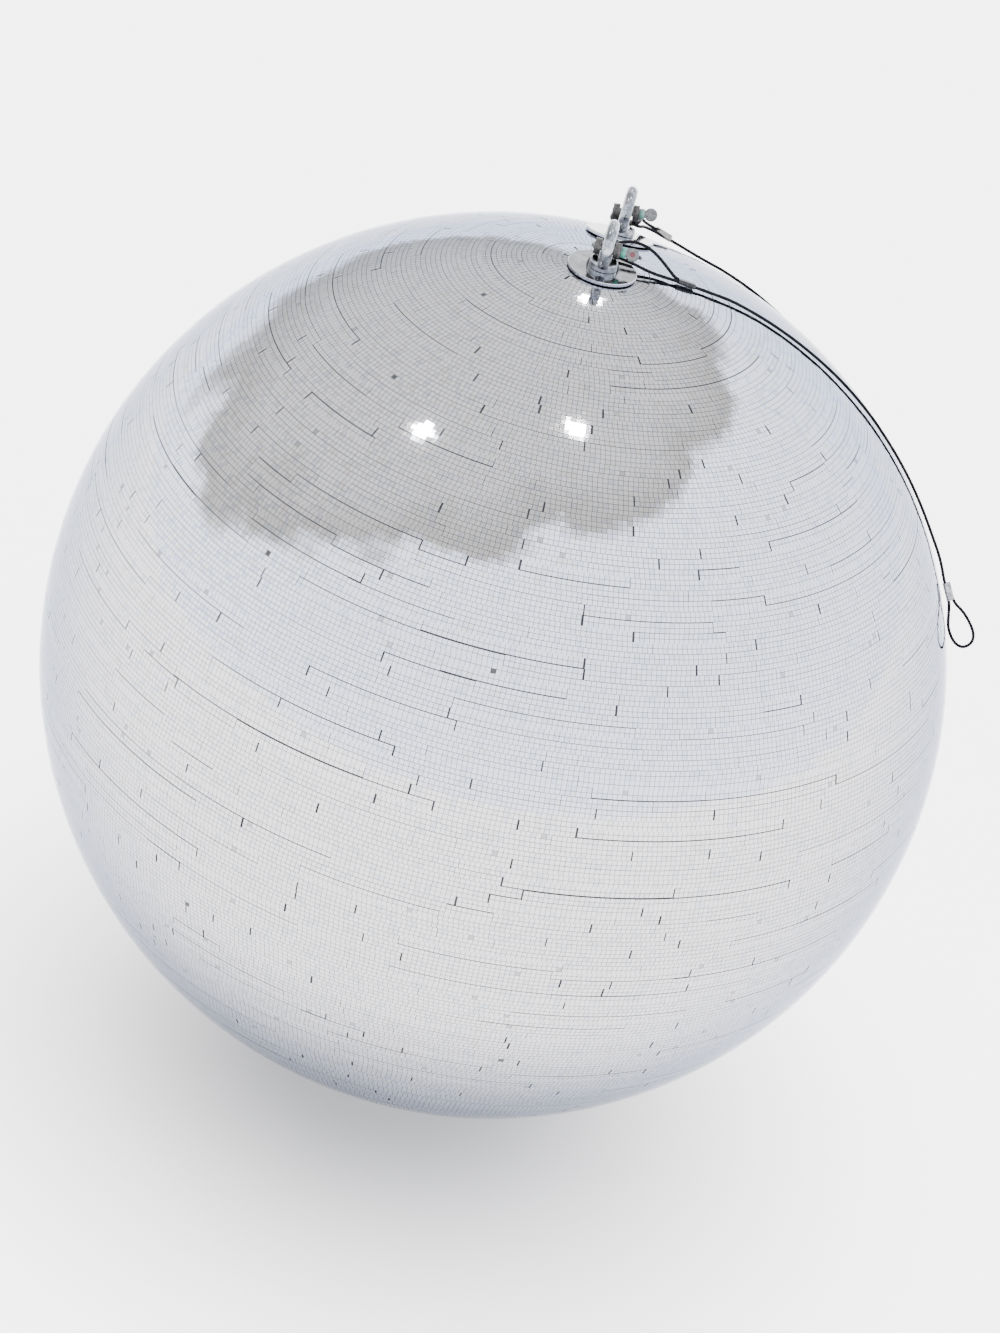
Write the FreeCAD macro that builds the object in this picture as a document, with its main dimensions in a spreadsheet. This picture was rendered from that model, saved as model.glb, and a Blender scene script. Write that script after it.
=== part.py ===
"""A one-metre mirror ball with its two lifting eyes, shackles and wire safety ropes.

Millimetres. The origin is the centre of the main eye's hole, +Z points up along the ball's axis, +X runs
along the hole and the safety eye stands on the +Y side. The ball's centre is straight below the origin.
"""

import math
import os

import FreeCAD, Part

V = FreeCAD.Vector
X, Y, Z = V(1, 0, 0), V(0, 1, 0), V(0, 0, 1)

SIZES = {
    # the ball
    "ball_radius": 500.0,
    "tile_depth": 2.0,
    "shell_depth": 4.0,
    "band_depth": 4.0,
    "band_half_height": 30.0,
    "dish_depth": 5.0,
    "dish_radius": 55.0,
    "clear_hole_radius": 6.5,
    # the tube that ties the two poles together
    "tube_radius": 13.45,
    "tube_bore_radius": 10.85,
    "tube_half_length": 488.8,
    "plug_length": 30.0,
    "thread_radius": 6.0,
    # the discs outside the ball, and the lifting eyes on them
    "disc_radius": 37.0,
    "disc_depth": 3.0,
    "eye_height": 26.0,
    "eye_hole_radius": 15.0,
    "eye_bar_radius": 6.0,
    "collar_radius": 15.0,
    "collar_height": 9.0,
    "shank_length": 34.0,
    "safety_tilt": 14.5,
    "safety_lean": 1.0,
    # washers, nut and bolt
    "washer_radius": 12.0,
    "washer_depth": 2.5,
    "nut_height": 10.0,
    "hex_corner_radius": 10.97,
    "bolt_head_height": 7.5,
    "bolt_length": 40.0,
    # the shackles
    "jaw_half_width": 7.0,
    "ear_depth": 7.0,
    "ear_radius": 8.5,
    "bow_bar_radius": 3.5,
    "bow_radius": 14.0,
    "bow_length": 29.0,
    "pin_radius": 4.0,
    "pin_clearance": 0.05,
    "pin_seat_gap": 0.3,
    "pin_tip": 15.0,
    "head_gap": 0.2,
    "head_collar_radius": 5.5,
    "head_collar_length": 5.6,
    "tab_radius": 7.0,
    "tab_depth": 5.0,
    "tab_centre": 26.5,
    "dimple_radius": 3.0,
    "dimple_depth": 0.8,
    # how each shackle hangs in its eye: where its pin sits, how far the bow drops, how it skews, how its tab faces
    "main_seat": 45.0,
    "main_drop": 23.0,
    "main_skew": 0.0,
    "main_tab_turn": 31.0,
    "safety_seat": 20.0,
    "safety_drop": 30.0,
    "safety_skew": 10.0,
    "safety_tab_turn": 17.0,
    # the wire ropes
    "rope_radius": 1.75,
    "ferrule_length": 20.0,
    "ferrule_width": 8.6,
    "ferrule_depth": 5.2,
    "strand_spacing": 3.8,
}

# The routes of the ropes, each from its dead end. A soft eye's two strands lie side by side in its ferrule.
MAIN_EYE_ROUTE = [
    (89.3, 35.6, -34.8), (77.2, 31.7, -32.1), (67, 36, -25), (52, 41, -15.5), (40, 43.5, -10.5),
    (28, 43, -8.5), (17, 40.5, -9.5), (6.2, 31.7, -11.4), (6.2, 27.1, -22.2), (18, 25.5, -23.3),
    (31, 23, -24), (44, 22.5, -27), (57, 25, -30), (78.4, 28.1, -32.1), (98.5, 34.6, -36.6),
]
MAIN_ROPE_ROUTE = [
    (99.2, 34.8, -36.8), (120, 42, -42), (141, 51, -48), (182, 62, -64), (225, 69, -84),
    (271, 76, -111), (313, 80, -142), (351, 80.5, -177), (380, 79.5, -208), (404, 77.5, -238),
    (424, 74, -266), (440, 68.5, -288), (450.9, 60.5, -309.1), (462.9, 53.4, -328.6),
    (465.8, 45.6, -341), (469, 38.3, -352.8), (479.5, 31.5, -363.9), (490.4, 30.1, -366.1),
    (498.5, 34.2, -359.4), (498, 39.5, -350.9), (490.6, 45, -342), (479.7, 50.6, -333),
    (466.1, 54.5, -326.9), (458.6, 58.9, -314.7),
]
SAFETY_EYE_ROUTE = [
    (54.5, 202.8, -62.5), (42.5, 196.5, -56.9), (32.5, 186.5, -49.5), (27.5, 175.5, -41), (26, 164.2, -32.7),
    (17.5, 160, -31.6), (19.1, 151.9, -39.7), (28.8, 156.8, -42.2), (30, 179, -50.5), (43.5, 194.7, -59.7),
    (63.1, 201.8, -68.1),
]
SAFETY_ROPE_ROUTE = [
    (63.8, 202.1, -68.5), (80, 207, -75.5), (98, 210.5, -82.6), (113, 216.2, -89.2), (130, 225, -97.5),
    (168, 235, -116), (208, 248, -143), (245, 258, -173), (278, 268, -205), (307, 276, -240),
    (332, 283, -277), (346.5, 287.5, -303), (359.5, 292.3, -330.6), (367.9, 296, -352.8),
    (375.7, 293.3, -366.5), (383.1, 290.5, -379.2), (386.4, 292.2, -391.5), (384.4, 299, -400.7),
    (378.4, 306.9, -401.6), (371.5, 312, -393.8), (367.6, 311.1, -381.6), (366.7, 305.2, -367.9),
    (365.6, 299.1, -353.1), (360.2, 296.7, -338.8),
]
# Where each ferrule lies: its centre, the way the rope runs through it, and the way across its two strands.
FERRULES = {
    "main_near_ferrule": (V(89, 33.5, -34.6), V(0.93, 0.3, -0.21), V(-0.31, 0.95, 0)),
    "main_far_ferrule": (V(458.5, 57.5, -318), V(0.5, -0.296, -0.813), V(0.861, 0.267, 0.432)),
    "safety_near_ferrule": (V(54.5, 201.2, -63.5), V(0.895, 0.234, -0.38), V(0.01, -0.86, -0.51)),
    "safety_far_ferrule": (V(362.6, 295.8, -341.8), V(0.35, 0.156, -0.924), V(-0.6, 0.795, -0.093)),
}

doc = FreeCAD.newDocument("mirror_ball")
sheet = doc.addObject("Spreadsheet::Sheet", "sizes")
for row, (alias, value) in enumerate(SIZES.items(), start=1):
    sheet.set(f"A{row}", alias.replace("_", " "))
    sheet.set(f"B{row}", str(value))
    sheet.setAlias(f"B{row}", alias)
doc.recompute()

pieces = {}


def size(alias):
    """A driving dimension, as the sheet holds it."""
    return float(sheet.get(alias))


# each flat disc rests on the rim of the hole under it, so the ball's centre lies this far below the eye
hole_rim = math.sqrt(size("ball_radius") ** 2 - size("clear_hole_radius") ** 2)
CENTRE = V(0, 0, -(size("eye_height") + size("disc_depth") + hole_rim))
SEAT = "-sizes.eye_height"
BALL_TOP = "-sizes.eye_height - sizes.disc_depth"
CENTRE_Z = BALL_TOP + " - sqrt(sizes.ball_radius ^ 2 - sizes.clear_hole_radius ^ 2)"
AT_POLE = FreeCAD.Placement()
# the two rims of a Part::Cylinder, as its chamfers and fillets number them
BASE_RIM, TOP_RIM = 2, 3


def about_centre(rotation):
    """The move that turns a piece about the ball's centre."""
    back = FreeCAD.Placement(CENTRE * -1, FreeCAD.Rotation())
    return FreeCAD.Placement(CENTRE, rotation).multiply(back)


LEAN = FreeCAD.Rotation(Y, size("safety_lean"))
TILT = FreeCAD.Rotation(X, -size("safety_tilt"))
AT_SAFETY = about_centre(LEAN.multiply(TILT))
AT_FOOT = about_centre(FreeCAD.Rotation(X, 180))


def make(kind, **sizes):
    """A new object whose properties are bound to the sheet where text is given."""
    thing = doc.addObject(kind, "shape")
    for name, value in sizes.items():
        name = name.replace("__", ".")
        if isinstance(value, str):
            thing.setExpression(name, value)
        else:
            setattr(thing, name, value)
    return thing


def cylinder(radius, height, base, axis=Z):
    """A round bar from the point base, whose entries are numbers or expressions, along axis."""
    bar = make("Part::Cylinder", Radius=radius, Height=height)
    bar.Placement = FreeCAD.Placement(V(), FreeCAD.Rotation(Z, axis))
    for name, value in zip("xyz", base):
        bar.setExpression(f"Placement.Base.{name}", str(value))
    return bar


def sphere(radius, low=-90.0, high=90.0):
    """A ball, or the part of one between two latitudes, about the mirror ball's centre."""
    return make("Part::Sphere", Radius=radius, Angle1=low, Angle2=high, Placement__Base__z=CENTRE_Z)


def fuse(*shapes):
    return make("Part::MultiFuse", Shapes=list(shapes))


def common(*shapes):
    return make("Part::MultiCommon", Shapes=list(shapes))


def cut(base, *tools):
    tool = tools[0] if len(tools) == 1 else fuse(*tools)
    return make("Part::Cut", Base=base, Tool=tool)


def piece(name, thing, placement=AT_POLE):
    """Names a finished piece, puts it in place and keeps it for export."""
    thing.Label = name
    thing.Placement = placement
    pieces[name] = thing
    return thing


def shank_hole(placement=AT_POLE):
    """A clearance hole for an M12 shank, through everything near one pole."""
    hole = make("Part::Cylinder", Radius="sizes.clear_hole_radius", Height=120.0)
    hole.Placement = placement.multiply(FreeCAD.Placement(V(0, 0, -120), FreeCAD.Rotation()))
    return hole


def half_shell(name, outer, inner, upper):
    """Half of a hollow ball, split at the equator, with the holes for the bolts that go through it."""
    low, high = (0.0, 90.0) if upper else (-90.0, 0.0)
    holes = [shank_hole(AT_POLE), shank_hole(AT_SAFETY)] if upper else [shank_hole(AT_FOOT)]
    piece(name, cut(sphere(outer, low, high), sphere(inner), *holes))


def dished_plate(name, placement):
    """A round plate pressed to the shell's inner curve, with one hole."""
    inside = "sizes.ball_radius - sizes.tile_depth - sizes.shell_depth"
    cap = cut(sphere(inside), sphere(inside + " - sizes.dish_depth"))
    blank = cylinder("sizes.dish_radius", 60.0, (0, 0, BALL_TOP + " - 50"))
    piece(name, cut(common(cap, blank), shank_hole()), placement)


def load_disc(name, placement):
    """The polished disc that spreads an eye's load over the tiles."""
    disc = cylinder("sizes.disc_radius", "sizes.disc_depth", (0, 0, BALL_TOP))
    eased = make("Part::Chamfer", Base=disc)
    eased.Edges = [(TOP_RIM, 0.6, 0.6)]
    piece(name, cut(eased, shank_hole()), placement)


def eye_bolt(name, placement):
    """A forged lifting eye: ring, collar and threaded shank, drawn plain."""
    ring = make("Part::Torus", Radius1="sizes.eye_hole_radius + sizes.eye_bar_radius",
                Radius2="sizes.eye_bar_radius")
    ring.Placement = FreeCAD.Placement(V(), FreeCAD.Rotation(Z, X))
    under_seat = cylinder("sizes.collar_radius", 20.0, (0, 0, SEAT + " - 20"))
    collar = cylinder("sizes.collar_radius", "sizes.collar_height", (0, 0, SEAT))
    rounded = make("Part::Fillet", Base=collar)
    rounded.Edges = [(BASE_RIM, 1.0, 1.0), (TOP_RIM, 2.5, 2.5)]
    shank = cylinder("sizes.thread_radius", "sizes.shank_length + 1", (0, 0, SEAT + " - sizes.shank_length"))
    tip = make("Part::Chamfer", Base=shank)
    tip.Edges = [(BASE_RIM, 1.2, 1.2)]
    piece(name, fuse(cut(ring, under_seat), rounded, tip), placement)


def round_plate_stack(name, radius, bore, depth, base, placement):
    """A plain washer or plug: a short cylinder with a bore."""
    body = cylinder(radius, depth, (0, 0, base))
    piece(name, cut(body, cylinder(bore, depth + " + 2", (0, 0, base + " - 1"))), placement)


def hexagon(height, base):
    """A hexagonal prism with its corners turned off at both ends."""
    prism = make("Part::Prism", Polygon=6, Circumradius="sizes.hex_corner_radius", Height=height,
                 Placement__Base__z=base)
    ease = make("Part::Chamfer", Base=cylinder("sizes.hex_corner_radius", height, (0, 0, base)))
    ease.Edges = [(BASE_RIM, 1.2, 1.2), (TOP_RIM, 1.2, 1.2)]
    return common(prism, ease)


def bow_wire():
    """The line down the middle of a shackle's bow: straight legs that run into the crown's arc."""
    crown, start_x = size("bow_radius"), size("jaw_half_width") + size("ear_depth") / 2
    centre_y = size("bow_length") + size("bow_bar_radius") - crown
    reach = math.hypot(start_x, centre_y)
    # the leg leaves the ear along the tangent to the crown's circle
    slant = math.atan2(-centre_y, start_x) + math.acos(crown / reach)
    touch = V(crown * math.cos(slant), centre_y + crown * math.sin(slant), 0)
    start, top = V(start_x, 0, 0), V(0, centre_y + crown, 0)
    mirror = lambda point: V(-point.x, point.y, 0)
    edges = [
        Part.LineSegment(start, touch).toShape(),
        Part.Arc(touch, top, mirror(touch)).toShape(),
        Part.LineSegment(mirror(touch), mirror(start)).toShape(),
    ]
    spine = make("Part::Feature")
    spine.Shape = Part.Wire(edges)
    return spine, start, touch - start


def shackle_bow(name, placement):
    """A bow shackle's body: the bow, and two round ears bored for the pin."""
    spine, start, along = bow_wire()
    section = make("Part::Circle", Radius="sizes.bow_bar_radius")
    section.Placement = FreeCAD.Placement(start, FreeCAD.Rotation(Z, along))
    bar = make("Part::Sweep", Sections=[section], Spine=(spine, ["Edge1", "Edge2", "Edge3"]), Solid=True)
    ears = [
        cylinder("sizes.ear_radius", "sizes.ear_depth", (left, 0, 0), X)
        for left in ("sizes.jaw_half_width", "-sizes.jaw_half_width - sizes.ear_depth")
    ]
    bore = cylinder("sizes.pin_radius + sizes.pin_clearance", 40.0, (-20, 0, 0), X)
    # flat seats round the bore, so the bow's slanting legs stay clear of the pin's collar
    seats = [
        cylinder("sizes.head_collar_radius + 1", 5.0, (left, 0, 0), X)
        for left in ("sizes.jaw_half_width + sizes.ear_depth", "-sizes.jaw_half_width - sizes.ear_depth - 5")
    ]
    piece(name, cut(fuse(bar, *ears), bore, *seats), placement)


def shackle_pin(name, placement):
    """A screw pin: its shank, a collar against the ear, and the flat round tab it is turned by."""
    ear_face = "sizes.jaw_half_width + sizes.ear_depth + sizes.head_gap"
    shank = cylinder("sizes.pin_radius", "sizes.pin_tip + " + ear_face, ("-sizes.pin_tip", 0, 0), X)
    tip = make("Part::Chamfer", Base=shank)
    tip.Edges = [(BASE_RIM, 0.8, 0.8)]
    collar = cylinder("sizes.head_collar_radius", "sizes.head_collar_length", (ear_face, 0, 0), X)
    neck = cylinder("sizes.pin_radius", 9.0, (ear_face, 0, 0), X)
    tab = cylinder("sizes.tab_radius", "sizes.tab_depth", ("sizes.tab_centre", "-sizes.tab_depth / 2", 0), Y)
    eased = make("Part::Chamfer", Base=tab)
    eased.Edges = [(BASE_RIM, 0.7, 0.7), (TOP_RIM, 0.7, 0.7)]
    dimples = [
        cylinder("sizes.dimple_radius", "sizes.dimple_depth + 1", ("sizes.tab_centre", side, 0), Y)
        for side in ("sizes.tab_depth / 2 - sizes.dimple_depth", "-sizes.tab_depth / 2 - 1")
    ]
    piece(name, cut(fuse(tip, collar, neck, eased), *dimples), placement)


def bend(before, corner, after):
    """Where an arc round a corner begins, its middle and end, and its radius, as large as the runs allow."""
    arrive, leave = before - corner, after - corner
    reach = 0.45 * min(arrive.Length, leave.Length)
    arrive.normalize()
    leave.normalize()
    half_turn = (math.pi - arrive.getAngle(leave)) / 2
    radius = reach / math.tan(half_turn)
    middle = (arrive + leave).normalize() * (math.hypot(radius, reach) - radius)
    return corner + arrive * reach, corner + middle, corner + leave * reach, radius


def rope(name, route):
    """A round rope whose route is straight runs joined by tangent arcs."""
    points = [V(*point) for point in route]
    edges, radii, start = [], [], points[0]
    for before, corner, after in zip(points, points[1:], points[2:]):
        begin, middle, end, radius = bend(before, corner, after)
        edges += [Part.LineSegment(start, begin).toShape(), Part.Arc(begin, middle, end).toShape()]
        radii.append(radius)
        start = end
    edges.append(Part.LineSegment(start, points[-1]).toShape())
    line = Part.Wire(edges)
    section = Part.Wire(Part.Circle(points[0], points[1] - points[0], size("rope_radius")).toShape())
    tube = make("Part::Feature")
    tube.Shape = pipe(line, section)
    share = tube.Shape.Volume / (math.pi * size("rope_radius") ** 2 * line.Length)
    print(f"{name}: {line.Length:.1f} mm, volume {share:.4f} of section times length, radii",
          " ".join(f"{radius:.1f}" for radius in radii))
    return piece(name, tube)


def pipe(line, section):
    """The solid that a section sweeps along a line."""
    sweep = Part.BRepOffsetAPI.MakePipeShell(line)
    sweep.add(section)
    sweep.build()
    sweep.makeSolid()
    return sweep.shape()


def ferrule(name):
    """A pressed sleeve of oval section, with a bore for each of the rope's two strands."""
    centre, along, across = FERRULES[name]
    depth = size("ferrule_depth")
    flat = (size("ferrule_width") - depth) / 2
    body = doc.addObject("PartDesign::Body", name)
    sketch = body.newObject("Sketcher::SketchObject", "oval")
    plane = next(f for f in body.Origin.OriginFeatures if f.Role == "XY_Plane")
    sketch.AttachmentSupport, sketch.MapMode = [(plane, "")], "FlatFace"
    for side in (1, -1):
        edge_y = side * depth / 2
        sketch.addGeometry(Part.LineSegment(V(-side * flat, edge_y, 0), V(side * flat, edge_y, 0)), False)
        first = -side * math.pi / 2
        end = Part.Circle(V(side * flat, 0, 0), Z, depth / 2)
        sketch.addGeometry(Part.ArcOfCircle(end, first, first + math.pi), False)
        bore = V(side * size("strand_spacing") / 2, 0, 0)
        sketch.addGeometry(Part.Circle(bore, Z, size("rope_radius")), False)
    pad = body.newObject("PartDesign::Pad", "length")
    pad.Profile = sketch
    pad.Midplane = True
    pad.setExpression("Length", "sizes.ferrule_length")
    doc.recompute()
    bore_rim = 2 * math.pi * size("rope_radius")
    rims = [
        f"Edge{i}"
        for i, edge in enumerate(pad.Shape.Edges, start=1)
        if abs(edge.CenterOfMass.z) > size("ferrule_length") / 2 - 0.001 and abs(edge.Length - bore_rim) > 0.01
    ]
    ease = body.newObject("PartDesign::Fillet", "rims")
    ease.Base, ease.Radius = (pad, rims), 0.4
    body.Tip = ease
    axes = FreeCAD.Rotation(across, along.cross(across), along, "ZXY")
    piece(name, body, FreeCAD.Placement(centre, axes))


# The ball: two halves of mirror tiles on two half shells, joined by a band inside the equator.
for half in ("upper", "lower"):
    tile_back = "sizes.ball_radius - sizes.tile_depth"
    shell_back = tile_back + " - sizes.shell_depth"
    half_shell(f"mirror_tiles_{half}", "sizes.ball_radius", tile_back, half == "upper")
    half_shell(f"shell_{half}", tile_back, shell_back, half == "upper")
band_slice = cylinder("sizes.ball_radius", "2 * sizes.band_half_height",
                      (0, 0, CENTRE_Z + " - sizes.band_half_height"))
band_ball = cut(sphere(shell_back), sphere(shell_back + " - sizes.band_depth"))
piece("joint_band", common(band_ball, band_slice))

# What holds the load: plates inside the shell, and a tube from pole to pole with a threaded plug in each end.
dished_plate("top_plate", AT_POLE)
dished_plate("bottom_plate", AT_FOOT)
dished_plate("safety_plate", AT_SAFETY)
tube = cylinder("sizes.tube_radius", "2 * sizes.tube_half_length", (0, 0, CENTRE_Z + " - sizes.tube_half_length"))
tube_bore = cylinder("sizes.tube_bore_radius", "2 * sizes.tube_half_length + 2",
                     (0, 0, CENTRE_Z + " - sizes.tube_half_length - 1"))
piece("centre_tube", cut(tube, tube_bore))
plug_base = CENTRE_Z + " + sizes.tube_half_length - sizes.plug_length"
for name, placement in (("top_plug", AT_POLE), ("bottom_plug", AT_FOOT)):
    round_plate_stack(name, "sizes.tube_bore_radius", "sizes.thread_radius", "sizes.plug_length", plug_base,
                      placement)

# Outside the ball: a disc under each fixing, the two lifting eyes, and the bolt at the bottom.
load_disc("main_disc", AT_POLE)
load_disc("safety_disc", AT_SAFETY)
load_disc("bottom_disc", AT_FOOT)
eye_bolt("main_eye_bolt", AT_POLE)
eye_bolt("safety_eye_bolt", AT_SAFETY)
plate_back = "(" + shell_back + " - sizes.dish_depth)"
washer_base = f"{CENTRE_Z} + sqrt({plate_back} ^ 2 - sizes.washer_radius ^ 2) - sizes.washer_depth"
round_plate_stack("safety_washer", "sizes.washer_radius", "sizes.clear_hole_radius", "sizes.washer_depth",
                  washer_base, AT_SAFETY)
nut_base = washer_base + " - sizes.nut_height"
nut_bore = cylinder("sizes.thread_radius", 14.0, (0, 0, nut_base + " - 2"))
piece("safety_nut", cut(hexagon("sizes.nut_height", nut_base), nut_bore), AT_SAFETY)
round_plate_stack("bottom_washer", "sizes.washer_radius", "sizes.clear_hole_radius", "sizes.washer_depth", SEAT,
                  AT_FOOT)
bolt_head = hexagon("sizes.bolt_head_height", SEAT + " + sizes.washer_depth")
bolt_shank = cylinder("sizes.thread_radius", "sizes.bolt_length + 1",
                      (0, 0, SEAT + " + sizes.washer_depth - sizes.bolt_length"))
piece("bottom_bolt", fuse(bolt_head, bolt_shank), AT_FOOT)

# The shackles: each pin lies against the back of its eye's hole, and the bow leans back over the disc.
pin_reach = size("eye_hole_radius") - size("pin_radius") - size("pin_seat_gap")
for label, place in (("main", AT_POLE), ("safety", AT_SAFETY)):
    seat = FreeCAD.Rotation(X, -size(label + "_seat")).multVec(Y) * pin_reach
    skew = FreeCAD.Rotation(Y, -size(label + "_skew"))
    for maker, part, turn in ((shackle_bow, "bow", "_drop"), (shackle_pin, "pin", "_tab_turn")):
        hung = skew.multiply(FreeCAD.Rotation(X, -size(label + turn)))
        maker(f"{label}_shackle_{part}", place.multiply(FreeCAD.Placement(seat, hung)))
    print(label, "shackle hinge", place.multVec(seat), "axis", place.Rotation.multiply(skew).multVec(X))

# The ropes: a soft eye round each bow, then the run over the ball to the far soft eye.
rope("main_rope_eye", MAIN_EYE_ROUTE)
rope("main_rope", MAIN_ROPE_ROUTE)
rope("safety_rope_eye", SAFETY_EYE_ROUTE)
rope("safety_rope", SAFETY_ROPE_ROUTE)
for name in FERRULES:
    ferrule(name)

doc.recompute()
for thing in doc.Objects:
    if "Invalid" in thing.State or "Error" in thing.State:
        raise RuntimeError(f"{thing.Label} ({thing.TypeId}) in {[p.Label for p in thing.InListRecursive]}: {thing.State}")
os.makedirs("parts", exist_ok=True)
for name, thing in pieces.items():
    if thing.Shape.isNull() or not thing.Shape.isValid():
        raise RuntimeError(f"{name} has no valid shape")
    thing.Shape.exportStep(f"parts/{name}.step")
    solids = len(thing.Shape.Solids)
    print(f"{name}: {solids} solid, {thing.Shape.Volume / 1000:.2f} cm3")
print("safety eye centre", AT_SAFETY.multVec(V()), "shank axis", AT_SAFETY.Rotation.multVec(Z))
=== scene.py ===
import math

import bpy
import numpy as np
from mathutils import Matrix, Vector


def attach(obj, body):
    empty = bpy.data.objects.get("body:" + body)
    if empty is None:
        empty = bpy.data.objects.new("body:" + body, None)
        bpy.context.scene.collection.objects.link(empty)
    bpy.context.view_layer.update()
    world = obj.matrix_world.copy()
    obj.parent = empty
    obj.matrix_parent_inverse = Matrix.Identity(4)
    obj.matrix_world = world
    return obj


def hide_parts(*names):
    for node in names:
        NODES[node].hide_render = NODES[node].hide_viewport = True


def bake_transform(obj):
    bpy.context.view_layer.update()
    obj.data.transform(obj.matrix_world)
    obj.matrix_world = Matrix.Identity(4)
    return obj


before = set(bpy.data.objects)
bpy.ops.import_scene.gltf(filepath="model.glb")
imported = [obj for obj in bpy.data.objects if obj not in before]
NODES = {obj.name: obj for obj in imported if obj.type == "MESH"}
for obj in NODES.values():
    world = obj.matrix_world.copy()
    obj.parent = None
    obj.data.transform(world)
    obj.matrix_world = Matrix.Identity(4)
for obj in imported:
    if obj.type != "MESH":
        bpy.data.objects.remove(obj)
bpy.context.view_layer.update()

MM = 0.001

# ---------------------------------------------------------------- where things are, in metres

BALL_CENTRE = np.array((0, 0, -528.958)) * MM
BALL_RADIUS = 0.5
CAMERA_DISTANCE = 4.0
CAMERA_ROLL = math.radians(15.4)
CAMERA_ELEVATION = math.radians(31.7)

MAIN_ROUTE = [
    (89.3, 35.6, -34.8), (77.2, 31.7, -32.1), (67, 36, -25), (52, 41, -15.5), (40, 43.5, -10.5),
    (28, 43, -8.5), (17, 40.5, -9.5), (6.2, 31.7, -11.4), (6.2, 27.1, -22.2), (18, 25.5, -23.3),
    (31, 23, -24), (44, 22.5, -27), (57, 25, -30), (78.4, 28.1, -32.1), (98.9, 34.75, -36.7),
    (120, 42, -42), (141, 51, -48), (182, 62, -64), (225, 69, -84), (271, 76, -111), (313, 80, -142),
    (351, 80.5, -177), (380, 79.5, -208), (404, 77.5, -238), (424, 74, -266), (440, 68.5, -288),
    (450.9, 60.5, -309.1), (462.9, 53.4, -328.6), (465.8, 45.6, -341), (469, 38.3, -352.8),
    (479.5, 31.5, -363.9), (490.4, 30.1, -366.1), (498.5, 34.2, -359.4), (498, 39.5, -350.9),
    (490.6, 45, -342), (479.7, 50.6, -333), (466.1, 54.5, -326.9), (458.6, 58.9, -314.7),
]
SAFETY_ROUTE = [
    (54.5, 202.8, -62.5), (42.5, 196.5, -56.9), (32.5, 186.5, -49.5), (27.5, 175.5, -41),
    (26, 164.2, -32.7), (17.5, 160, -31.6), (19.1, 151.9, -39.7), (28.8, 156.8, -42.2),
    (30, 179, -50.5), (43.5, 194.7, -59.7), (63.4, 201.95, -68.3), (80, 207, -75.5), (98, 210.5, -82.6),
    (113, 216.2, -89.2), (130, 225, -97.5), (168, 235, -116), (208, 248, -143), (245, 258, -173),
    (278, 268, -205), (307, 276, -240), (332, 283, -277), (346.5, 287.5, -303), (359.5, 292.3, -330.6),
    (367.9, 296, -352.8), (375.7, 293.3, -366.5), (383.1, 290.5, -379.2), (386.4, 292.2, -391.5),
    (384.4, 299, -400.7), (378.4, 306.9, -401.6), (371.5, 312, -393.8), (367.6, 311.1, -381.6),
    (366.7, 305.2, -367.9), (365.6, 299.1, -353.1), (360.2, 296.7, -338.8),
]
ROPE_RADIUS = 1.75 * MM

# ---------------------------------------------------------------- materials


def material(name, colour, metallic=0.0, roughness=0.5):
    """A Principled material with fixed values, to which detail can be added."""
    mat = bpy.data.materials.new(name)
    mat.use_nodes = True
    shader = mat.node_tree.nodes["Principled BSDF"]
    shader.inputs["Base Color"].default_value = (*colour, 1.0)
    shader.inputs["Metallic"].default_value = metallic
    shader.inputs["Roughness"].default_value = roughness
    return mat


def mottle(mat, light, dark, scale, low=0.4, high=0.65, rough=None, bump=0.0):
    """Noise between two colours, with the same noise in the roughness range and the surface."""
    tree = mat.node_tree
    shader = tree.nodes["Principled BSDF"]
    place = tree.nodes.new("ShaderNodeTexCoord")
    noise = tree.nodes.new("ShaderNodeTexNoise")
    noise.inputs["Scale"].default_value = scale
    noise.inputs["Detail"].default_value = 6.0
    noise.inputs["Roughness"].default_value = 0.6
    tree.links.new(place.outputs["Object"], noise.inputs["Vector"])
    ramp = tree.nodes.new("ShaderNodeValToRGB")
    ramp.color_ramp.elements[0].position = low
    ramp.color_ramp.elements[0].color = (*dark, 1)
    ramp.color_ramp.elements[1].position = high
    ramp.color_ramp.elements[1].color = (*light, 1)
    tree.links.new(noise.outputs["Fac"], ramp.inputs["Fac"])
    tree.links.new(ramp.outputs["Color"], shader.inputs["Base Color"])
    if rough:
        change = tree.nodes.new("ShaderNodeMapRange")
        change.inputs["From Min"].default_value = 0.3
        change.inputs["From Max"].default_value = 0.7
        change.inputs["To Min"].default_value = rough[0]
        change.inputs["To Max"].default_value = rough[1]
        tree.links.new(noise.outputs["Fac"], change.inputs["Value"])
        tree.links.new(change.outputs["Result"], shader.inputs["Roughness"])
    if bump:
        relief = tree.nodes.new("ShaderNodeBump")
        relief.inputs["Strength"].default_value = bump
        relief.inputs["Distance"].default_value = 0.0003
        tree.links.new(noise.outputs["Fac"], relief.inputs["Height"])
        tree.links.new(relief.outputs["Normal"], shader.inputs["Normal"])
    return mat


def mirror(name, colour, roughness):
    """A silvered tile, less bright towards its edge so that the ball's outline stays clear."""
    mat = material(name, colour, 1.0, roughness)
    mat.node_tree.nodes["Principled BSDF"].inputs["Specular Tint"].default_value = (0.56, 0.6, 0.7, 1)
    return mat


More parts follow.
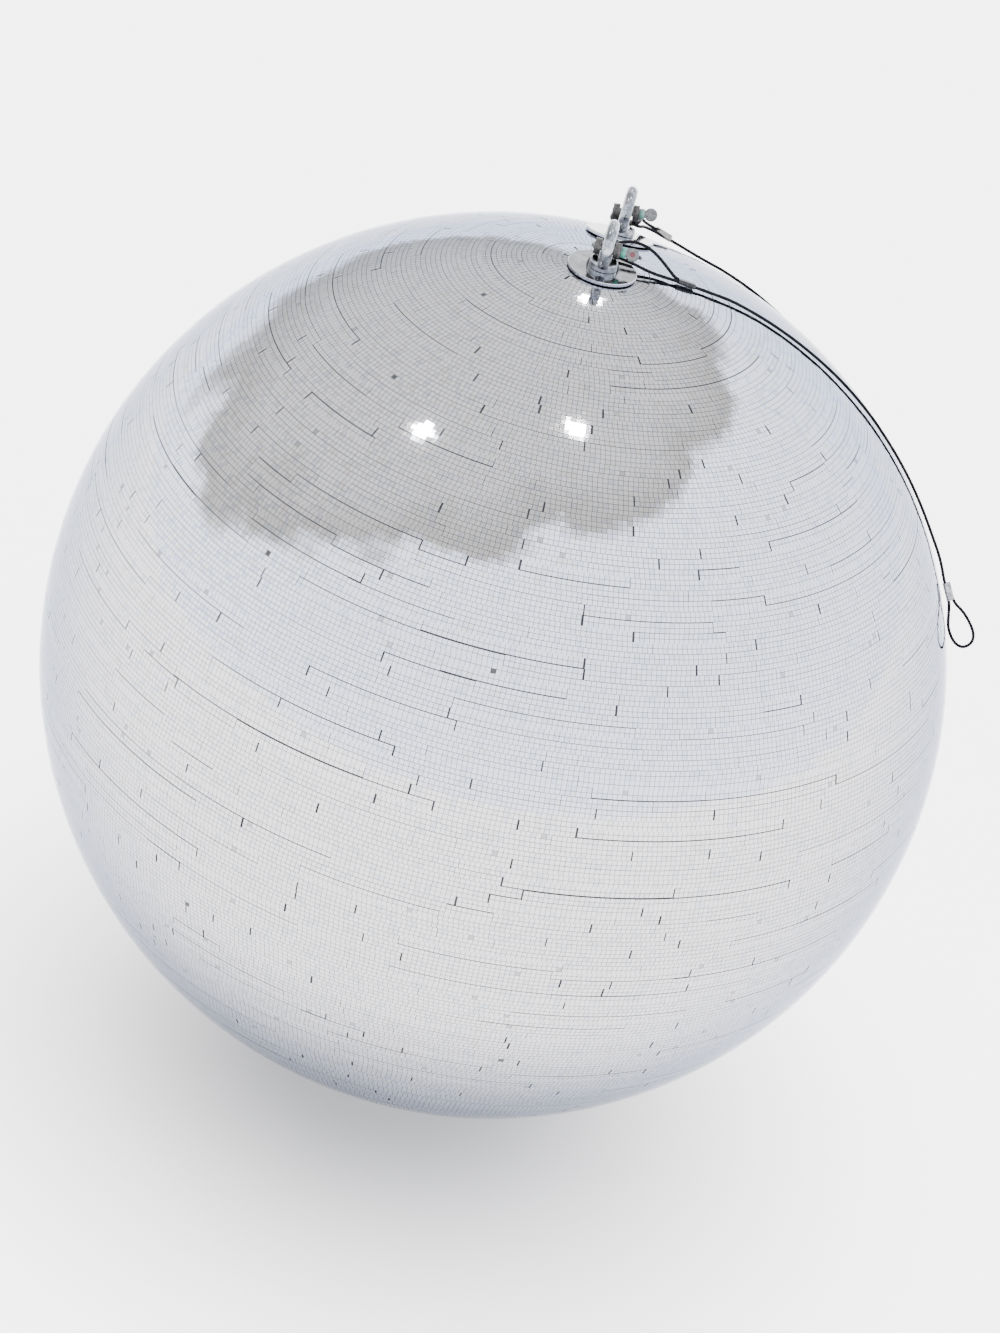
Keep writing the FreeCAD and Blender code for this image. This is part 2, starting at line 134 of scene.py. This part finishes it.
MIRROR = [
    mirror("mirror_glass", (0.44, 0.442, 0.456), 0.05),
    mirror("mirror_glass_cool", (0.375, 0.39, 0.42), 0.07),
    mirror("mirror_glass_warm", (0.415, 0.405, 0.4), 0.09),
    mirror("mirror_glass_worn", (0.25, 0.255, 0.265), 0.22),
    material("mirror_glass_lost", (0.03, 0.03, 0.033), 0.0, 0.8),
]
joint = mottle(material("tile_joint", (0.03, 0.03, 0.035), 0.0, 0.8),
               (0.045, 0.045, 0.05), (0.02, 0.02, 0.025), 60)
fibre = mottle(material("glass_fibre", (0.5, 0.48, 0.4), 0.0, 0.6), (0.52, 0.5, 0.42), (0.4, 0.37, 0.3), 40,
               rough=(0.45, 0.75), bump=0.4)
primer = mottle(material("primer_grey", (0.1, 0.1, 0.11), 0.2, 0.5),
                (0.12, 0.125, 0.13), (0.07, 0.075, 0.08), 90,
                rough=(0.4, 0.65), bump=0.2)
chrome = mottle(material("polished_disc", (0.36, 0.37, 0.4), 1.0, 0.08),
                (0.42, 0.43, 0.46), (0.3, 0.31, 0.33), 70,
                rough=(0.05, 0.14))
zinc = mottle(material("zinc_plate", (0.2, 0.21, 0.22), 1.0, 0.25),
              (0.3, 0.31, 0.33), (0.1, 0.107, 0.115), 130,
              rough=(0.12, 0.28), bump=0.3)
fastener = mottle(material("zinc_fastener", (0.2, 0.2, 0.21), 1.0, 0.3),
                  (0.25, 0.255, 0.26), (0.13, 0.135, 0.14),
                  220, rough=(0.22, 0.42), bump=0.2)
forged = mottle(material("forged_shackle", (0.08, 0.078, 0.075), 0.85, 0.45), (0.1, 0.097, 0.094),
                (0.035, 0.033, 0.03), 260, rough=(0.35, 0.6), bump=0.5)
pin_steel = mottle(material("pin_steel", (0.12, 0.12, 0.117), 0.8, 0.4),
                   (0.15, 0.15, 0.145), (0.07, 0.07, 0.067),
                   300, rough=(0.3, 0.55), bump=0.4)
green = mottle(material("worn_green_paint", (0.03, 0.19, 0.13), 0.1, 0.45),
               (0.03, 0.21, 0.15), (0.08, 0.1, 0.085),
               420, low=0.36, high=0.5, rough=(0.35, 0.6), bump=0.5)
green_grey = mottle(material("rubbed_green_paint", (0.1, 0.17, 0.14), 0.3, 0.45), (0.07, 0.21, 0.16),
                    (0.16, 0.18, 0.17), 420, low=0.42, high=0.58, rough=(0.35, 0.6), bump=0.5)
red = mottle(material("red_paint", (0.09, 0.006, 0.01), 0.0, 0.5),
             (0.11, 0.008, 0.012), (0.06, 0.004, 0.006), 700,
             rough=(0.35, 0.55))
rope_black = mottle(material("black_rope", (0.006, 0.006, 0.007), 0.0, 0.6), (0.008, 0.008, 0.01),
                    (0.003, 0.003, 0.004), 500, rough=(0.5, 0.7))
rope_black.node_tree.nodes["Principled BSDF"].inputs["Specular IOR Level"].default_value = 0.04
# The main near ferrule's near-black tone is painted shade: the same aluminium ferrule darkened as if it
# reflected dark surroundings.
ferrule_painted_shade = mottle(material("painted_shade_ferrule", (0.03, 0.03, 0.03), 0.9, 0.25), (0.04, 0.04, 0.04),
                      (0.015, 0.015, 0.015), 400, rough=(0.15, 0.3), bump=0.3)
ferrule_bright = mottle(material("bright_ferrule", (0.24, 0.24, 0.24), 1.0, 0.2), (0.34, 0.34, 0.34),
                        (0.12, 0.12, 0.12), 400, rough=(0.12, 0.28), bump=0.3)
# The safety near ferrule's matte grey-beige tone is painted sky light: the same aluminium ferrule given the
# look it has where it faces the sky.
ferrule_painted_sky_light = mottle(material("painted_sky_light_ferrule", (0.2, 0.19, 0.17), 0.5, 0.5), (0.24, 0.225, 0.2),
                      (0.14, 0.13, 0.115), 400, rough=(0.4, 0.6), bump=0.4)

LOOKS = {
    "mirror_tiles_upper": MIRROR[0], "mirror_tiles_lower": MIRROR[0],
    "shell_upper": joint, "shell_lower": joint,
    "joint_band": fibre, "top_plate": primer, "bottom_plate": primer, "safety_plate": primer,
    "centre_tube": primer, "top_plug": primer, "bottom_plug": primer, "main_disc": chrome,
    "safety_disc": chrome, "bottom_disc": chrome, "main_eye_bolt": zinc, "safety_eye_bolt": zinc,
    "safety_washer": fastener, "safety_nut": fastener, "bottom_washer": fastener, "bottom_bolt": fastener,
    "main_shackle_bow": forged, "safety_shackle_bow": forged, "main_shackle_pin": pin_steel,
    "safety_shackle_pin": pin_steel, "main_rope": rope_black, "main_rope_eye": rope_black,
    # main near ferrule: aluminium in painted shade
    "safety_rope": rope_black, "safety_rope_eye": rope_black, "main_near_ferrule": ferrule_painted_shade,
    # safety near ferrule: aluminium in painted sky light
    "main_far_ferrule": ferrule_bright, "safety_near_ferrule": ferrule_painted_sky_light,
    "safety_far_ferrule": ferrule_bright,
}
for name, node in NODES.items():
    node.data.materials.clear()
    node.data.materials.append(LOOKS[name])


def mesh_object(name, verts, faces, mat, smooth=False):
    """A mesh object from points and faces, with one material."""
    mesh = bpy.data.meshes.new(name)
    mesh.from_pydata([tuple(v) for v in verts], [], [tuple(f) for f in faces])
    mesh.materials.append(mat)
    mesh.polygons.foreach_set("use_smooth", [smooth] * len(mesh.polygons))
    mesh.update()
    obj = bpy.data.objects.new(name, mesh)
    bpy.context.scene.collection.objects.link(obj)
    return obj


# ---------------------------------------------------------------- the mirror tiles

TILE = 4.8 * MM
PITCH = 5.25 * MM
TILE_RADIUS = 499.85 * MM
SHANK_AXES = ((0, 0, 1), (0.0169, 0.25038, 0.968), (0, 0, -1))
SHANK_CLEARANCE = 11 * MM
POLE = np.array((-0.024, 0.016, 1.0))
POLE = POLE / np.linalg.norm(POLE)
ROWS = int(round(math.pi * BALL_RADIUS / PITCH))
STRIPS = ROWS // 2
SIDE = np.cross((0, 1, 0), POLE)
SIDE = SIDE / np.linalg.norm(SIDE)
ACROSS = np.cross(POLE, SIDE)
rng = np.random.default_rng(4)


def strip_tiles(strip):
    """The tiles of one strip, two rows high, laid round the ball in lengths with a gap after each.
    Gives each tile's angle from the pole, its angle round the ball, its two tilts and its width."""
    top = (2 * strip) * math.pi / ROWS
    middle = top + math.pi / ROWS
    round_length = 2 * math.pi * BALL_RADIUS * math.sin(middle)
    count = max(3, int(round_length / PITCH))
    spare = round_length - count * PITCH
    lengths = []
    while sum(lengths) < count:
        lengths.append(int(rng.integers(9, 46)))
    lengths[-1] -= sum(lengths) - count
    lengths = [n for n in lengths if n > 0]
    wide = rng.random(len(lengths)) < 0.34
    wide_gaps = rng.uniform(0.9, 1.8, len(lengths))
    fine_gaps = rng.uniform(0.02, 0.2, len(lengths))
    gaps = np.where(wide, wide_gaps, fine_gaps) * MM
    gaps = gaps + min(spare / len(lengths), 0.3 * MM)
    squeeze = (round_length - gaps.sum()) / count
    start = rng.uniform(0, 2 * math.pi)
    along, shift, lean, roll = [], [], [], []
    at = 0.0
    for n, gap in zip(lengths, gaps):
        along.append(at + (np.arange(n) + 0.5) * squeeze)
        at += n * squeeze + gap
        slip = rng.normal(0, 0.08 * MM) if n > 12 else rng.normal(0, 0.05 * MM)
        loose = rng.random() < 0.15
        slip = rng.choice((-1, 1)) * rng.uniform(0.45, 0.9) * MM if loose else slip
        shift.append(np.full(n, slip))
        lean.append(np.full(n, rng.normal(0, 0.0035)))
        roll.append(np.full(n, rng.normal(0, 0.0035)))
    along, shift, lean, roll = (np.concatenate(a) for a in (along, shift, lean, roll))
    angle = start + along / (BALL_RADIUS * math.sin(middle))
    rows = []
    for row in (0, 1):
        polar = top + (row + 0.5) * math.pi / ROWS + shift / BALL_RADIUS
        width = min(TILE, squeeze - 0.4 * MM) * (math.sin(polar.mean()) / math.sin(middle)) ** 0.5
        rows.append((polar, angle, lean, roll, np.full(len(angle), width)))
    return [np.concatenate(a) for a in zip(*rows)]


def tile_mesh(name, strips):
    polar, angle, lean, roll, width = (np.concatenate(a) for a in zip(*(strip_tiles(s) for s in strips)))
    n = len(polar)
    normal = (np.cos(polar)[:, None] * POLE
              + np.sin(polar)[:, None] * (np.cos(angle)[:, None] * SIDE + np.sin(angle)[:, None] * ACROSS))
    east = -np.sin(angle)[:, None] * SIDE + np.cos(angle)[:, None] * ACROSS
    south = np.cross(east, normal)
    # tiles under the discs' bolts are left out, so that the shanks pass
    keep = np.ones(n, bool)
    for axis in SHANK_AXES:
        axis = np.array(axis)
        off_axis = np.linalg.norm(np.cross(normal, axis), axis=1) * BALL_RADIUS
        keep &= ~((normal @ axis > 0) & (off_axis < SHANK_CLEARANCE))
    lean = lean + rng.normal(0, 0.003, n)
    roll = roll + rng.normal(0, 0.003, n)
    normal, east, south, lean, roll, width = (a[keep] for a in (normal, east, south, lean, roll, width))
    n = len(normal)
    half_w = (width / 2)[:, None]
    half_h = (TILE + rng.normal(0, 0.02 * MM, n))[:, None] / 2
    centre = BALL_CENTRE + normal * TILE_RADIUS
    east = east + normal * roll[:, None]
    south = south + normal * lean[:, None]
    corners = [centre + sx * half_w * east + sy * half_h * south
               for sx, sy in ((-1, 1), (1, 1), (1, -1), (-1, -1))]
    verts = np.stack(corners, axis=1).reshape(-1, 3)
    look = rng.choice(5, n, p=(0.74, 0.14, 0.1177, 0.0022, 0.0001))
    mesh = bpy.data.meshes.new(name)
    mesh.vertices.add(4 * n)
    mesh.vertices.foreach_set("co", verts.ravel().astype(np.float32))
    mesh.loops.add(4 * n)
    mesh.loops.foreach_set("vertex_index", np.arange(4 * n, dtype=np.int32))
    mesh.polygons.add(n)
    mesh.polygons.foreach_set("loop_start", np.arange(0, 4 * n, 4, dtype=np.int32))
    for mat in MIRROR:
        mesh.materials.append(mat)
    mesh.polygons.foreach_set("material_index", look.astype(np.int32))
    mesh.update(calc_edges=True)
    mesh.validate()
    obj = bpy.data.objects.new(name, mesh)
    bpy.context.scene.collection.objects.link(obj)
    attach(obj, "ball")
    return obj


upper_tiles = tile_mesh("tiles_upper_half", range(0, STRIPS // 2))
lower_tiles = tile_mesh("tiles_lower_half", range(STRIPS // 2, STRIPS))
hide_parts("mirror_tiles_upper")
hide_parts("mirror_tiles_lower")

# ---------------------------------------------------------------- the ropes


def spline_line(name, route):
    """The smooth line through a route's corners, as points read back from a curve with no bevel."""
    curve = bpy.data.curves.new(name, "CURVE")
    curve.dimensions = "3D"
    curve.resolution_u = 24
    spline = curve.splines.new("NURBS")
    spline.points.add(len(route) - 1)
    for point, place in zip(spline.points, route):
        point.co = (*(c * MM for c in place), 1)
    spline.order_u = 3
    spline.use_endpoint_u = True
    holder = bpy.data.objects.new(name, curve)
    bpy.context.scene.collection.objects.link(holder)
    bpy.context.view_layer.update()
    line = bpy.data.meshes.new_from_object(holder)
    points = np.array([v.co for v in line.vertices], float)
    bpy.data.objects.remove(holder)
    bpy.data.meshes.remove(line)
    return points


def even(points, step):
    """The same line with points evenly spaced along it."""
    lengths = np.concatenate([[0], np.cumsum(np.linalg.norm(np.diff(points, axis=0), axis=1))])
    wanted = np.linspace(0, lengths[-1], max(2, int(round(lengths[-1] / step)) + 1))
    return np.stack([np.interp(wanted, lengths, points[:, k]) for k in range(3)], axis=1), lengths[-1]


def rope_mesh(name, route, step=0.7 * MM, sides=24, strands=7, lay=17 * MM):
    """A rope with the twist of its strands showing through its black cover."""
    points, length = even(spline_line(name + "_line", route), step)
    ahead = np.gradient(points, axis=0)
    ahead /= np.linalg.norm(ahead, axis=1)[:, None]
    normal = np.cross(ahead[0], (0, 0, 1.0))
    verts = []
    for i, (centre, forward) in enumerate(zip(points, ahead)):
        normal = normal - forward * (normal @ forward)
        normal /= np.linalg.norm(normal)
        other = np.cross(forward, normal)
        turn = 2 * math.pi * i * step / lay
        around = np.arange(sides) * 2 * math.pi / sides
        radius = ROPE_RADIUS * (0.965 + 0.035 * np.cos(strands * (around - turn)))
        outward = np.cos(around)[:, None] * normal + np.sin(around)[:, None] * other
        verts.append(centre + radius[:, None] * outward)
    verts = np.concatenate(verts)
    rings = len(points)
    faces = []
    for i in range(rings - 1):
        for j in range(sides):
            k = (j + 1) % sides
            faces.append((i * sides + j, i * sides + k, (i + 1) * sides + k, (i + 1) * sides + j))
    faces.append(tuple(range(sides - 1, -1, -1)))
    faces.append(tuple((rings - 1) * sides + j for j in range(sides)))
    obj = mesh_object(name, verts, faces, rope_black, smooth=True)
    return obj, points, length


ROPES = (
    ("main", MAIN_ROUTE, (99, 34.8, -36.8), (271, 76, -111)),
    ("safety", SAFETY_ROUTE, (63.6, 202, -68.4), (208, 248, -143)),
)
for label, route, start, end in ROPES:
    rope, line, length = rope_mesh(f"{label}_wire_rope", route)
    print(label, "rope length", round(length, 4))
    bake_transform(rope)
    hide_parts(f"{label}_rope", f"{label}_rope_eye")

# ---------------------------------------------------------------- paint on the shackle pins


def sleeve(name, centre, axis, radius, half_length, mat, body, inner=0.0):
    """A thin coat of paint round a round bar, or on a flat round face if it has no length."""
    axis = Vector(axis).normalized()
    turn = axis.to_track_quat("Z", "Y").to_matrix()
    steps, verts, faces = 64, [], []
    profile = [(radius - 0.00025, -half_length), (radius, -half_length + 0.0002),
               (radius, half_length - 0.0002), (radius - 0.00025, half_length)]
    if half_length < 0.0002:
        profile = [(inner, 0.0), (radius * 0.5, 0.00003), (radius, 0.0)]
    for r, z in profile:
        for k in range(steps):
            a = 2 * math.pi * k / steps
            verts.append(Vector(centre) + turn @ Vector((r * math.cos(a), r * math.sin(a), z)))
    for i in range(len(profile) - 1):
        for k in range(steps):
            m = (k + 1) % steps
            faces.append((i * steps + k, i * steps + m, (i + 1) * steps + m, (i + 1) * steps + k))
    obj = mesh_object(name, verts, faces, mat, smooth=True)
    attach(obj, body)
    return obj


def pin_frame(pivot, axis):
    """A function that gives a point on the pin, so far along it from the jaw's middle and so far off its
    axis towards the tab's face; and the pin's axis and the way that face looks."""
    axis = Vector(axis).normalized()
    face = Vector((0, -0.853, 0.522))
    face = (face - axis * face.dot(axis)).normalized()
    pivot = Vector(pivot)
    return lambda along, off: (pivot + axis * along + face * off), axis, face


MAIN_PIN = ((0, 0.007566, -0.007566), (1, 0, 0))
SAFETY_PIN = ((0.0088318, 0.1412586, -0.0229862), (0.98759, 0.04348, 0.15090))
at, axis, face = pin_frame(*MAIN_PIN)
sleeve("main_pin_paint", at(0.0170, 0), axis, 0.00562, 0.0027, green, "main_pin")
sleeve("main_pin_dot", at(0.0265, 0.00175), face, 0.0029, 0, red, "main_pin", inner=0.00001)
at, axis, face = pin_frame(*SAFETY_PIN)
sleeve("safety_pin_paint", at(0.0170, 0), axis, 0.00562, 0.0027, green_grey, "safety_pin")

# ---------------------------------------------------------------- the stage, light and camera

FLOOR = -1.1
FLOOR_HALF = 40
floor_mat = mottle(material("pale_floor", (0.3, 0.3, 0.3), 0.0, 0.9),
                   (0.31, 0.31, 0.31), (0.29, 0.29, 0.29), 3)
glow = floor_mat.node_tree.nodes["Principled BSDF"]
glow.inputs["Emission Color"].default_value = (1.0, 0.98, 0.985, 1.0)
floor_tree = floor_mat.node_tree
# The floor's glow is weakest at the point under the ball and reaches full strength 0.75 m away: a painted
# contact shadow round the ball's foot.
floor_place = floor_tree.nodes.new("ShaderNodeTexCoord")
away = floor_tree.nodes.new("ShaderNodeVectorMath")
away.operation = "LENGTH"
painted_contact_shadow = floor_tree.nodes.new("ShaderNodeMapRange")
painted_contact_shadow.interpolation_type = "SMOOTHSTEP"
painted_contact_shadow.inputs["From Min"].default_value = 0.1
painted_contact_shadow.inputs["From Max"].default_value = 0.75
painted_contact_shadow.inputs["To Min"].default_value = 0.25
painted_contact_shadow.inputs["To Max"].default_value = 4.6
floor_tree.links.new(floor_place.outputs["Object"], away.inputs[0])
floor_tree.links.new(away.outputs["Value"], painted_contact_shadow.inputs["Value"])
floor_tree.links.new(painted_contact_shadow.outputs["Result"], glow.inputs["Emission Strength"])
floor_corners = [(-FLOOR_HALF, -FLOOR_HALF, 0), (FLOOR_HALF, -FLOOR_HALF, 0),
                 (FLOOR_HALF, FLOOR_HALF, 0), (-FLOOR_HALF, FLOOR_HALF, 0)]
floor = mesh_object("floor", floor_corners, [(0, 1, 2, 3)], floor_mat)
floor.location.z = FLOOR

world = bpy.data.worlds.new("studio")
bpy.context.scene.world = world
world.use_nodes = True
sky = world.node_tree
sky_place = sky.nodes.new("ShaderNodeTexCoord")
towards = sky.nodes.new("ShaderNodeVectorMath")
towards.operation = "DOT_PRODUCT"
towards.inputs[1].default_value = (-0.35, 0.35, 0.87)
ragged = sky.nodes.new("ShaderNodeTexNoise")
ragged.inputs["Scale"].default_value = 2.6
ragged.inputs["Detail"].default_value = 3.0
edge = sky.nodes.new("ShaderNodeMath")
edge.operation = "MULTIPLY_ADD"
edge.inputs[1].default_value = 0.4
shade = sky.nodes.new("ShaderNodeValToRGB")
shade.color_ramp.elements[0].position = 0.785
shade.color_ramp.elements[0].color = (0.86, 0.895, 1.0, 1)
shade.color_ramp.elements[1].position = 1.0
shade.color_ramp.elements[1].color = (0.47, 0.47, 0.48, 1)
inner = shade.color_ramp.elements.new(0.835)
inner.color = (0.33, 0.325, 0.32, 1)
sky.links.new(sky_place.outputs["Generated"], towards.inputs[0])
sky.links.new(sky_place.outputs["Generated"], ragged.inputs["Vector"])
sky.links.new(ragged.outputs["Fac"], edge.inputs[0])
sky.links.new(towards.outputs["Value"], edge.inputs[2])
sky.links.new(edge.outputs["Value"], shade.inputs["Fac"])
sky.links.new(shade.outputs["Color"], sky.nodes["Background"].inputs["Color"])
height = sky.nodes.new("ShaderNodeSeparateXYZ")
brighter = sky.nodes.new("ShaderNodeMapRange")
brighter.inputs["From Min"].default_value = 0.0
brighter.inputs["From Max"].default_value = 0.5
brighter.inputs["To Min"].default_value = 5.8
brighter.inputs["To Max"].default_value = 5.2
sky.links.new(sky_place.outputs["Generated"], height.inputs["Vector"])
sky.links.new(height.outputs["Z"], brighter.inputs["Value"])
sky.links.new(brighter.outputs["Result"], sky.nodes["Background"].inputs["Strength"])


def lamp(name, place, aim, size, power, colour=(1, 1, 1)):
    """A soft square lamp that looks at a point."""
    data = bpy.data.lights.new(name, "AREA")
    data.shape = "SQUARE"
    data.size = size
    data.energy = power
    data.color = colour
    obj = bpy.data.objects.new(name, data)
    bpy.context.scene.collection.objects.link(obj)
    obj.location = place
    obj.rotation_euler = (Vector(aim) - Vector(place)).to_track_quat("-Z", "Y").to_euler()
    return obj


ball = Vector(BALL_CENTRE)
lamp("left_lamp", (-1.8, -0.29, 3.06), ball, 0.24, 26)
lamp("right_lamp", (0.23, 0.11, 3.49), ball, 0.24, 26)
lamp("back_lamp", (-0.03, 2.64, 2.34), ball, 0.2, 16)

camera_data = bpy.data.cameras.new("camera")
camera_data.lens = 97.33
camera_data.sensor_width = 36
camera_data.sensor_fit = "AUTO"
camera_data.shift_x = 0.00525
camera_data.shift_y = -0.0011
camera_data.clip_end = 100
camera = bpy.data.objects.new("camera", camera_data)
bpy.context.scene.collection.objects.link(camera)
right = Vector((1, 0, 0))
up = Vector((0, math.sin(CAMERA_ELEVATION), math.cos(CAMERA_ELEVATION)))
ahead = Vector((0, math.cos(CAMERA_ELEVATION), -math.sin(CAMERA_ELEVATION)))
camera_x = right * math.cos(CAMERA_ROLL) + up * math.sin(CAMERA_ROLL)
camera_y = up * math.cos(CAMERA_ROLL) - right * math.sin(CAMERA_ROLL)
turn = Matrix((camera_x, camera_y, -ahead)).transposed().to_4x4()
camera.matrix_world = Matrix.Translation(ball - ahead * CAMERA_DISTANCE) @ turn
bpy.context.scene.camera = camera
